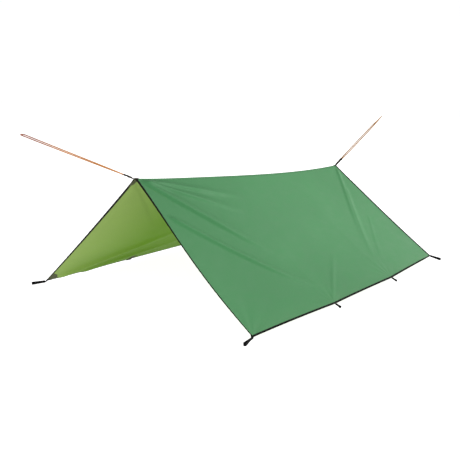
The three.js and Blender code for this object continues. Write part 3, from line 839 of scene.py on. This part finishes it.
def tube_rings(line, radius, sides):
    """Rings of points round a line, turned as little as possible from one to the next."""
    tangents = unit(np.gradient(line, axis=0))
    rings = []
    side_way = unit(np.cross(tangents[0], (0.0, 0.0, 1.0)))
    angles = np.linspace(0, 2 * np.pi, sides, endpoint=False)
    for point, tangent in zip(line, tangents):
        side_way = unit(side_way - tangent * np.dot(side_way, tangent))
        above = np.cross(side_way, tangent)
        spokes = np.outer(np.cos(angles), side_way) + np.outer(np.sin(angles), above)
        rings.append(point + radius * spokes)
    return np.array(rings)


CORD_STEP = 0.004
CORD_SIDES = 14


def add_guyline(end):
    """The doubled cord of one end, from one hole of its buckle round the bight to the other hole."""
    line = LINES[end]
    start = buckle_bar(line) + BUCKLE_LENGTH - BUCKLE_BAR / 2 + TOUCH_GAP
    route = smooth_line(np.array(line["route"]) + (start, 0, 0), CORD_STEP)
    path = placed(line_frame(end), route)
    rings = tube_rings(path, line["cord_diameter"] / 2, CORD_SIDES)
    around = np.arange(CORD_SIDES) / CORD_SIDES
    uv = np.stack(np.broadcast_arrays(run_along(path)[:, None], around[None]), -1)
    parts = Parts()
    add_tube(parts, rings, uv)
    cord = parts.build(f"{end}_guyline_cord", [CORDS[end]])
    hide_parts(f"{end}_guyline")
    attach(cord, f"{end}_line")


add_camera()
add_studio()
for end in ENDS:
    add_guyline(end)


# ---------------------------------------------------------------- walls

NEAR_RIDGE_DOWNS = [0.0, 0.003, 0.006, 0.010, 0.015, 0.021, 0.028, 0.036, 0.045]
EVEN_DOWNS_START = 0.054
BINDING_LIP = 0.0006  # how far in from its edge a flap of binding reaches its full lift
BINDING_FLAT = 0.6  # the share of a flap's width out to which it has a row of points


def wall_downs():
    """How far down each row of a wall's points lies: close together near the ridge, then even."""
    return np.concatenate([NEAR_RIDGE_DOWNS, steps_between(EVEN_DOWNS_START, WALL_DEPTH - BINDING_OUTER)])


def follow_wall(piece):
    """Bakes the piece's placement into its points."""
    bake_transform(piece)


def add_panel(name):
    side = SIDES[name]
    alongs = steps_between(BINDING_OUTER, RIDGE_LENGTH - BINDING_OUTER)
    grid = np.meshgrid(alongs, wall_downs(), indexing="ij")
    uv = np.stack(grid, -1)
    parts = Parts()
    add_shell(parts, on_cloth(side, *grid, CLOTH_HALF), on_cloth(side, *grid, -CLOTH_HALF), uv, 1)
    panel = parts.build(f"{name}_wall_cloth", [OUTSIDE, INSIDE])
    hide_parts(f"{name}_panel")
    follow_wall(panel)


def width_at(widths, run):
    return np.interp(run, *np.transpose(widths))


def binding_section(outside, inside):
    """Edge tape folded round the cloth: (in from the edge, lift) round its closed section."""
    middle = (BINDING_INNER + BINDING_OUTER) / 2
    turn = np.linspace(np.pi / 2, 3 * np.pi / 2, 7)
    arc = np.stack([np.cos(turn), np.sin(turn)], 1)
    outer_arc, inner_arc = BINDING_OUTER * arc, BINDING_INNER * arc[::-1]
    outer_lip, inner_lip = outside - BINDING_LIP, inside - BINDING_LIP
    outer_flap = [(outside, middle), (outer_lip, BINDING_OUTER), (outside * BINDING_FLAT, BINDING_OUTER)]
    inner_flap = [(inside * BINDING_FLAT, -BINDING_OUTER), (inner_lip, -BINDING_OUTER), (inside, -middle)]
    inner_face = [(inner_lip, -BINDING_INNER), *inner_arc, (outer_lip, BINDING_INNER)]
    return np.array([*outer_flap, *outer_arc, *inner_flap, *inner_face])


def add_binding(parts, side, place, stations, outside, inside):
    """A folded binding along an edge. place(x, run) gives (along, down) for x in from the edge."""
    sections = np.array([binding_section(width_at(outside, run), width_at(inside, run)) for run in stations])
    x, lift = sections[..., 0], sections[..., 1]
    run = np.broadcast_to(np.asarray(stations)[:, None], x.shape)
    along, down = place(x, run)
    around = np.cumsum(np.linalg.norm(np.diff(sections, axis=1, prepend=sections[:, :1]), axis=2), axis=1)
    add_tube(parts, on_cloth(side, along, down, lift), np.stack([run, around], -1))


def add_hem_binding(name):
    side = SIDES[name]
    stations = steps_between(0, RIDGE_LENGTH)
    parts = Parts()
    outside, inside = HEM_BINDING[name]
    add_binding(parts, side, lambda x, run: (run, WALL_DEPTH - x), stations, outside, inside)
    inset = width_at(outside, stations) - STITCH_INSET
    stitch_on_cloth(parts, side, stations, WALL_DEPTH - inset, BINDING_OUTER)
    hem = parts.build(f"{name}_hem_binding", [BINDING, THREAD])
    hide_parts(f"{name}_hem_tape")
    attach(hem, f"{name}_wall")


def from_end(end, inward):
    return inward if end == "head" else RIDGE_LENGTH - inward


def add_end_binding(name, end):
    side = SIDES[name]
    stations = np.concatenate([wall_downs()[:-1], [WALL_DEPTH - 0.009, WALL_DEPTH]])
    parts = Parts()
    place = lambda x, run: (from_end(end, x), run)
    outside, inside = END_BINDING[f"{end}_{name}"]
    add_binding(parts, side, place, stations, outside, inside)
    for lift, widths in ((BINDING_OUTER, outside), (-BINDING_OUTER, inside)):
        along = from_end(end, width_at(widths, stations) - STITCH_INSET)
        stitch_on_cloth(parts, side, along, stations, lift)
    edge = parts.build(f"{end}_{name}_edge_binding", [BINDING, THREAD])
    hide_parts(f"{end}_{name}_end_tape")
    follow_wall(edge)


SEAM_REACHES = np.array([0.0, 0.0015, 0.003, 0.0055, 0.009, 0.013, 0.017, 0.0195])
SEAM_STITCH_ROWS = (0.008, 0.016)
SEAM_LIFT = 0.0011
SEAM_STITCH_LIFT = 0.0012
SEAM_PUFF = 0.0003
SEAM_PUFF_PITCH = 0.031
SEAM_PUFF_ACROSS = 200  # its phase across the seam, in radians per metre


def add_ridge_seam():
    """The felled seam over the ridge, with two rows of stitches on each side."""
    stations = steps_between(0.0, RIDGE_LENGTH)
    across = np.concatenate([-SEAM_REACHES[:0:-1], SEAM_REACHES])
    grid_along, grid_across = np.meshgrid(stations, across, indexing="ij")
    def surface(lift):
        halves = {s: on_cloth(s, grid_along, np.abs(grid_across), lift) for s in SIDES.values()}
        return np.where((grid_across < 0)[..., None], halves[FRONT], halves[BACK])
    parts = Parts()
    uv = np.stack([grid_along, grid_across], -1)
    waves = np.sin(grid_along * 2 * np.pi / SEAM_PUFF_PITCH) * np.cos(grid_across * SEAM_PUFF_ACROSS)
    puff = SEAM_LIFT + SEAM_PUFF * waves
    add_shell(parts, surface(puff), surface(np.full_like(puff, CLOTH_HALF + 0.0001)), uv)
    for side in SIDES.values():
        for off in SEAM_STITCH_ROWS:
            stitch_on_cloth(parts, side, stations, off, SEAM_STITCH_LIFT)
    seam = parts.build("ridge_seam", [SEAM_CLOTH, THREAD])
    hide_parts("ridge_seam_tape")
    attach(seam, "ridge")


# ---------------------------------------------------------------- reinforcements

PATCH_INNER_LIFT = -0.0019
PATCH_OUTER_LIFT = -0.0006
PATCH_STITCH_INSET = 0.06
PATCH_CORNER_INSET = 0.004
PATCH_WAIST = 0.62
PATCH_STEPS = 15
PATCH_STITCH_POINTS = 24
PATCH_ROUND = 0.08  # the share of its spread over which a patch swells to its full thickness
CORNER_PATCH = (0.120, 0.120)  # along the hem, up the end edge
RIDGE_PATCH = (0.055, 0.105)  # along the ridge, down the end edge
SIDE_PATCH = [(-0.045, 0.004), (0.045, 0.004), (0.0315, 0.070), (-0.0315, 0.070)]  # beside the loop, up


def patch_stitch_walks():
    """The four rows of stitches just inside a patch's outline, as shares of its spread."""
    low, high = PATCH_STITCH_INSET, 1 - PATCH_STITCH_INSET
    ring = np.array([(low, low), (high, low), (high, high), (low, high), (low, low)])
    share = np.linspace(0, 1, PATCH_STITCH_POINTS)[:, None]
    return [lerp(first, last, share) for first, last in zip(ring[:-1], ring[1:])]


def add_patch(node, name, corners, to_along, to_down, whole_body):
    """A reinforcement inside the wall, spread over four corners, with stitches round it."""
    side = SIDES[name]
    corners = np.array(corners, float)
    def spread_over(s, t):
        top = lerp(corners[0], corners[1], s[..., None])
        bottom = lerp(corners[3], corners[2], s[..., None])
        return lerp(top, bottom, t[..., None])
    steps = np.linspace(0, 1, PATCH_STEPS)
    xy = spread_over(*np.meshgrid(steps, steps, indexing="ij"))
    along, down = to_along(xy[..., 0]), to_down(xy[..., 1])
    parts = Parts()
    uv = np.stack([along, down], -1)
    from_edge = np.minimum(steps, 1 - steps)
    edge = np.minimum(*np.meshgrid(from_edge, from_edge, indexing="ij"))
    swell = PATCH_INNER_LIFT * (0.72 + 0.28 * smooth(edge / PATCH_ROUND))
    add_shell(parts, on_cloth(side, along, down, swell), on_cloth(side, along, down, PATCH_OUTER_LIFT), uv)
    for walk in patch_stitch_walks():
        spots = spread_over(walk[:, 0], walk[:, 1])
        stitch_on_cloth(parts, side, to_along(spots[:, 0]), to_down(spots[:, 1]), PATCH_INNER_LIFT)
    patch = parts.build(f"{node}_cloth", [PATCH_CLOTH, BLACK_THREAD])
    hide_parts(node)
    if whole_body:
        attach(patch, f"{name}_wall")
    else:
        follow_wall(patch)


def corner_outline(size_x, size_y):
    low = PATCH_CORNER_INSET
    return [(low, low), (size_x, low), (PATCH_WAIST * size_x, PATCH_WAIST * size_y), (low, size_y)]


def add_reinforcements(name):
    for end in ENDS:
        inward = lambda x, end=end: from_end(end, x)
        outline = corner_outline(*CORNER_PATCH)
        add_patch(f"{end}_{name}_corner_patch", name, outline, inward, lambda y: WALL_DEPTH - y, True)
        outline = corner_outline(*RIDGE_PATCH)
        add_patch(f"{end}_{name}_ridge_patch", name, outline, inward, lambda y: y, False)
    for loop in PEG_LOOPS:
        if loop["side"] == SIDES[name] and loop["kind"] is SIDE_LOOP:
            beside = lambda x, loop=loop: loop["along"] + x
            add_patch(f"{loop['name']}_patch", name, SIDE_PATCH, beside, lambda y: WALL_DEPTH - y, True)


# ---------------------------------------------------------------- webbing

def strap_section(width, thickness):
    """(across, off) round a webbing strip's closed section, with soft selvedges."""
    half, off = width / 2, thickness / 2
    upper = [(-half, 0), (-half + 0.0004, 0.7 * off), (-half + 0.0012, off), (-half * 0.5, off), (0, off)]
    upper += [(half * 0.5, off), (half - 0.0012, off), (half - 0.0004, 0.7 * off)]
    lower = [(-across, -lift) for across, lift in upper]
    return np.array(upper + lower)


def add_strap(parts, line, widths, normals, width, drop=None):
    """A webbing strip along a line, with the direction of its width and its face at each point."""
    section = strap_section(width, WEBBING * 0.9)
    across, off = section[:, 0], section[:, 1]
    rings = line[:, None] + widths[:, None] * across[None, :, None] + normals[:, None] * off[None, :, None]
    if drop is not None:
        rings[..., 2] -= drop[:, None] * (np.sqrt(across**2 + RIDGE_ROUND**2) - RIDGE_ROUND)[None]
    uv = np.stack(np.broadcast_arrays(run_along(line)[:, None], across[None]), -1)
    add_tube(parts, rings, uv)


def teardrop(start, length, eye):
    """The middle of a folded strip, as (out, off its axis): along one layer, round the eye and back."""
    radius = eye + WEBBING / 2
    centre = length - WEBBING - eye
    half = WEBBING / 2
    turn = math.pi / 2 + math.asin((radius - half) / (centre - start))
    touch = (centre + radius * math.cos(turn), radius * math.sin(turn))
    leg = lerp(np.array([start, half]), np.array(touch), np.linspace(0, 1, 12, endpoint=False)[:, None])
    arc = [(centre + radius * math.cos(a), radius * math.sin(a)) for a in np.linspace(turn, -turn, 25)]
    return np.concatenate([leg, arc, leg[::-1] * (1, -1)])


STRIP_STEP = 0.001  # from one station along a strip to the next
FLAT_STEP = 0.002  # from one point of a strip's flat stretch to the next


def smoothed(track, times):
    """A track with its steps rounded off, and its two ends kept."""
    for _ in range(times):
        track[1:-1] = (track[:-2] + 2 * track[1:-1] + track[2:]) / 4
    return track


def folded_strip(tail, start, length, eye):
    """A folded strip's middle, as (out, off its axis): from its tail's end round its eye and back."""
    flat = np.arange(-tail, start, FLAT_STEP)
    upper = np.stack([flat, np.full(len(flat), WEBBING / 2)], 1)
    return np.concatenate([upper, teardrop(start, length, eye), upper[::-1] * (1, -1)])


BAR_TACK_PITCH = 0.0016
BAR_TACK_STITCH = 0.0015
BAR_TACK_REACH = 0.42  # a tack's half width and its height off the middle, as shares of the strip's sizes
BAR_TACK_HEIGHT = 0.96
BAR_TACK_POINTS = 14


def add_bar_tack(parts, middle, width_way, normal, width):
    """A short dense row of stitches across a folded strip, on both of its faces."""
    width_way, normal = unit(np.array(width_way)), unit(np.array(normal))
    across = np.linspace(-BAR_TACK_REACH * width, BAR_TACK_REACH * width, BAR_TACK_POINTS)
    for face in (1, -1):
        line = middle + normal * face * (WEBBING * BAR_TACK_HEIGHT) + np.outer(across, width_way)
        facing = np.repeat([normal * face], len(line), axis=0)
        add_stitches(parts, line, facing, BAR_TACK_PITCH, BAR_TACK_STITCH)


PEG_EYE_START = 0.023  # where a peg loop's two layers part
PEG_TACKS = (0.016, 0.019)
PEG_TAIL_TACK = -0.012
PEG_TAIL_LIFT = -0.0040
TAIL_TACK_INSET = 0.004
CORNER_TAIL_WAY = {0: (0.6, -0.8), RIDGE_LENGTH: (-0.6, -0.8)}  # (along, down) from the corner at this along
SIDE_TAIL_WAY = (0.0, -1.0)


def peg_loop_frame(loop):
    """Its root, its level way out, and its own three ways: out to a tip on the ground, across and above."""
    side, kind = loop["side"], loop["kind"]
    heading = math.radians(loop["heading"])
    out = np.array([math.cos(heading), math.sin(heading), 0])
    root = on_cloth(side, loop["along"], WALL_DEPTH) + out * LOOP_ROOT_GAP
    root[2] = HEM_CLEARANCE[side] - LOOP_ROOT_DROP
    reach = math.hypot(kind["length"], kind["width"] / 2)
    slope = math.asin(root[2] / reach) - math.atan2(kind["width"] / 2, kind["length"])
    x_way = out * math.cos(slope) - np.array([0, 0, math.sin(slope)])
    y_way = np.array([-math.sin(heading), math.cos(heading), 0])
    return root, out, x_way, y_way, np.cross(x_way, y_way)


def peg_loop_tail(loop, far):
    """The tail sewn inside the wall at these distances from the root: its middle, width way and normal."""
    inward = CORNER_TAIL_WAY[loop["along"]] if loop["kind"] is CORNER_LOOP else SIDE_TAIL_WAY
    along, down = (np.outer(far - LOOP_ROOT_GAP, inward) + (loop["along"], WALL_DEPTH)).T
    middle = on_cloth(loop["side"], along, down, PEG_TAIL_LIFT)
    normal = cloth_normal(loop["side"], along, down)
    return middle, unit(np.cross(normal, unit(np.gradient(middle, axis=0)))), normal


def add_peg_loop(loop):
    """A strip folded in two: sewn flat inside the corner, then turned on edge to open into an eye."""
    kind = loop["kind"]
    root, out, x_way, y_way, z_way = peg_loop_frame(loop)
    far = np.arange(kind["tail"], LOOP_ROOT_GAP, -STRIP_STEP)
    x = np.arange(0, kind["length"] + STRIP_STEP, STRIP_STEP)
    turned = np.pi / 2 * smooth((x + LOOP_TURN_BEFORE) / LOOP_TURN_LENGTH)
    normal = np.outer(np.sin(turned), y_way) + np.outer(np.cos(turned), z_way)
    width = np.outer(np.cos(turned), y_way) - np.outer(np.sin(turned), z_way)
    tracks = []
    for before, after in zip(peg_loop_tail(loop, far), (root + np.outer(x, x_way), width, normal)):
        same_way = 1 if not tracks or np.dot(before[-1], after[0]) >= 0 else -1
        tracks.append(smoothed(np.concatenate([before * same_way, after]), 3))

    stations = np.concatenate([-far, x])
    outline = folded_strip(kind["tail"], PEG_EYE_START, kind["length"], kind["eye"])
    middle, width, normal = (between(outline[:, 0], stations, track) for track in tracks)
    line = middle + normal * outline[:, 1:]
    widths = unit(width)
    normals = unit(np.cross(widths, unit(np.gradient(line, axis=0))))
    parts = Parts()
    add_strap(parts, line, widths, normals, kind["width"])
    for station in (*PEG_TACKS, TAIL_TACK_INSET - kind["tail"], PEG_TAIL_TACK):
        add_bar_tack(parts, *(between([station], stations, track)[0] for track in tracks), kind["width"])
    strap = parts.build(f"{loop['name']}_loop_webbing", [STRAP, BLACK_THREAD])
    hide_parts(f"{loop['name']}_loop")
    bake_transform(strap)


RIDGE_TAIL = 0.034
RIDGE_TAIL_LIFT = 0.0032
RIDGE_EYE_START = 0.050
RIDGE_TACKS = (0.026, 0.030, 0.045)
TWIST_START = 0.004  # past the root, and before the bar
TWIST_LENGTH = 0.020
STRADDLE_END = -0.004  # where the webbing starts to leave the ridge's shape, and over how far it does
STRADDLE_FADE = 0.022


def ridge_loop_roll(end, where):
    """The cosine and sine of the webbing's roll at these places along it."""
    line = LINES[end]
    begun = smooth((where - TWIST_START) / TWIST_LENGTH)
    left = smooth((buckle_bar(line) - TWIST_START - where) / TWIST_LENGTH)
    roll = -line["facing"] * RIDGE_LOOP_TWIST * begun * left
    return np.cos(roll)[:, None], np.sin(roll)[:, None]


def add_ridge_loop(end):
    """The webbing loop at one end: its tail straddles the ridge seam, its eye holds the buckle's bar."""
    line = LINES[end]
    m = np.array(line_frame(end))
    root, x_way, y_way, z_way = m[:3, 3], m[:3, 0], m[:3, 1], m[:3, 2]
    far = np.arange(RIDGE_TAIL, RIDGE_LOOP_GAP, -STRIP_STEP)
    tail = on_cloth(BACK, from_end(end, far - RIDGE_LOOP_GAP), np.zeros(len(far)), RIDGE_TAIL_LIFT)
    x = np.arange(0, line["loop_length"] + STRIP_STEP, STRIP_STEP)
    stations = np.concatenate([-far, x])
    axis = smoothed(np.concatenate([tail, root + np.outer(x, x_way)]), 4)
    up = np.concatenate([np.repeat([[0.0, 0.0, 1.0]], len(tail), 0), np.repeat([z_way], len(x), 0)])
    up = smoothed(up, 4)

    def rolled(where):
        """The strip's middle, width way and normal at these places along it."""
        cos, sin = ridge_loop_roll(end, where)
        flat_up = between(where, stations, up)
        return between(where, stations, axis), cos * y_way - sin * flat_up, cos * flat_up + sin * y_way

    outline = folded_strip(RIDGE_TAIL, RIDGE_EYE_START, line["loop_length"], RIDGE_LOOP_EYE)
    middle, widths, normals = rolled(outline[:, 0])
    centre = middle + normals * outline[:, 1:]
    normals = unit(np.cross(widths, unit(np.gradient(centre, axis=0))))
    at_end = from_end(end, 0.0)
    steep = float((ridge_height(at_end) - HEM_CLEARANCE[BACK]) / hem_reach(BACK, at_end))
    drop = steep * (1 - smooth((outline[:, 0] - STRADDLE_END) / STRADDLE_FADE))
    parts = Parts()
    add_strap(parts, centre, widths, normals, RIDGE_LOOP_WIDTH, drop)
    for station in RIDGE_TACKS:
        add_bar_tack(parts, *(track[0] for track in rolled(np.array([station]))), RIDGE_LOOP_WIDTH)
    strap = parts.build(f"{end}_ridge_loop_webbing", [RIDGE_STRAP, BLACK_THREAD])
    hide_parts(f"{end}_ridge_loop")
    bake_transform(strap)


# ---------------------------------------------------------------- buckles

PLATE_HALF_WIDTH = 0.015
PLATE_THICKNESS = 0.004
SLOT_LENGTH = 0.007
SLOT_HALF_WIDTH = 0.011
NOSE_HALF_WIDTH = 0.0125
NOSE_WALL = 0.0014  # what the nose is deeper than its cord
NOSE_GAP = 0.003  # from the slot to the nose
RIB_COUNT = 4
RIB_START = 0.0052  # from the slot to the first rib
RIB_RELIEF = 0.0012  # what a rib is deeper than the nose
RIB_PITCH = 0.0028
RIB_WIDTH = 0.0012
RIB_HALF_LENGTH = 0.0085
COLLAR_SIDES = 24
CORNER_POINTS = 5

# The collar round each cord: (out from the buckle's outer face, outside the cord's radius) round its section.
COLLAR = [(-0.0015, 0.0009), (-0.0002, 0.0009), (0.0002, 0.0006), (0.0002, 0.0002), (-0.0015, 0.0001)]


def rounded_outline(x_low, x_high, half_width, radius):
    """Points round a rectangle with round corners, anticlockwise."""
    left, right, y_off = x_low + radius, x_high - radius, half_width - radius
    points = []
    for x, y, first in ((right, -y_off, -90), (right, y_off, 0), (left, y_off, 90), (left, -y_off, 180)):
        for angle in np.radians(np.linspace(first, first + 90, CORNER_POINTS)):
            points.append((x + radius * math.cos(angle), y + radius * math.sin(angle)))
    return points


def moulding(name, outlines, thickness, edge):
    """A flat moulded shape with rounded edges. The first outline is outside, and the others are holes."""
    curve = bpy.data.curves.new(name, "CURVE")
    curve.dimensions = "2D"
    curve.fill_mode = "BOTH"
    curve.extrude = thickness / 2 - edge
    curve.bevel_depth = edge
    curve.bevel_resolution = 3
    curve.offset = -edge
    for outline in outlines:
        spline = curve.splines.new("POLY")
        spline.points.add(len(outline) - 1)
        for point, (x, y) in zip(spline.points, outline):
            point.co = (x, y, 0, 1)
        spline.use_cyclic_u = True
    holder = bpy.data.objects.new(name, curve)
    mesh = bpy.data.meshes.new_from_object(holder)
    bpy.data.objects.remove(holder)
    points = np.array([v.co for v in mesh.vertices])
    faces = [tuple(p.vertices) for p in mesh.polygons]
    bpy.data.meshes.remove(mesh)
    return points, faces


def add_collars(parts, line, frame_at, face):
    """The raised rim round each cord's hole in the buckle's outer face."""
    turn = np.linspace(0, 2 * np.pi, COLLAR_SIDES + 1)[:-1]
    for across in (-line["hole_spacing"] / 2, line["hole_spacing"] / 2):
        collar = []
        for out, margin in COLLAR:
            radius = line["cord_diameter"] / 2 + margin
            level = np.full(COLLAR_SIDES, face + out)
            collar.append(np.stack([level, across + radius * np.cos(turn), radius * np.sin(turn)], 1))
        rings = placed(frame_at, np.array(collar).reshape(-1, 3))
        parts.add(rings, [tuple(f) for f in grid_faces(len(COLLAR), COLLAR_SIDES, closed=True)])


def add_buckle(end):
    """A moulded adjuster: bar and slot for the webbing, thicker ribbed nose, two collared cord holes."""
    line = LINES[end]
    frame_at = line_frame(end) @ Matrix.Translation((buckle_bar(line), 0, 0))
    low, high = -BUCKLE_BAR / 2, BUCKLE_LENGTH - BUCKLE_BAR / 2
    slot_end = BUCKLE_BAR / 2 + SLOT_LENGTH
    nose_depth = line["cord_diameter"] + NOSE_WALL
    plate = [
        rounded_outline(low, high - 0.001, PLATE_HALF_WIDTH, 0.004),
        rounded_outline(BUCKLE_BAR / 2, slot_end, SLOT_HALF_WIDTH, 0.001)[::-1],
    ]
    nose = [rounded_outline(slot_end + NOSE_GAP, high, NOSE_HALF_WIDTH, 0.003)]
    shapes = [moulding("plate", plate, PLATE_THICKNESS, 0.0006), moulding("nose", nose, nose_depth, 0.0014)]
    for number in range(RIB_COUNT):
        x = slot_end + RIB_START + RIB_PITCH * number
        rib = [rounded_outline(x, x + RIB_WIDTH, RIB_HALF_LENGTH, 0.0005)]
        shapes.append(moulding("rib", rib, nose_depth + RIB_RELIEF, 0.0004))
    parts = Parts()
    for points, faces in shapes:
        parts.add(placed(frame_at, points), faces)
    add_collars(parts, line, frame_at, high)
    buckle = parts.build(f"{end}_buckle_moulding", [PLASTIC])
    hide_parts(f"{end}_buckle")
    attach(buckle, f"{end}_line")


# ---------------------------------------------------------------- assembly

add_ridge_seam()
for name in SIDES:
    add_panel(name)
    add_hem_binding(name)
    add_reinforcements(name)
    for end in ENDS:
        add_end_binding(name, end)
for loop in PEG_LOOPS:
    add_peg_loop(loop)
for end in ENDS:
    add_ridge_loop(end)
    add_buckle(end)
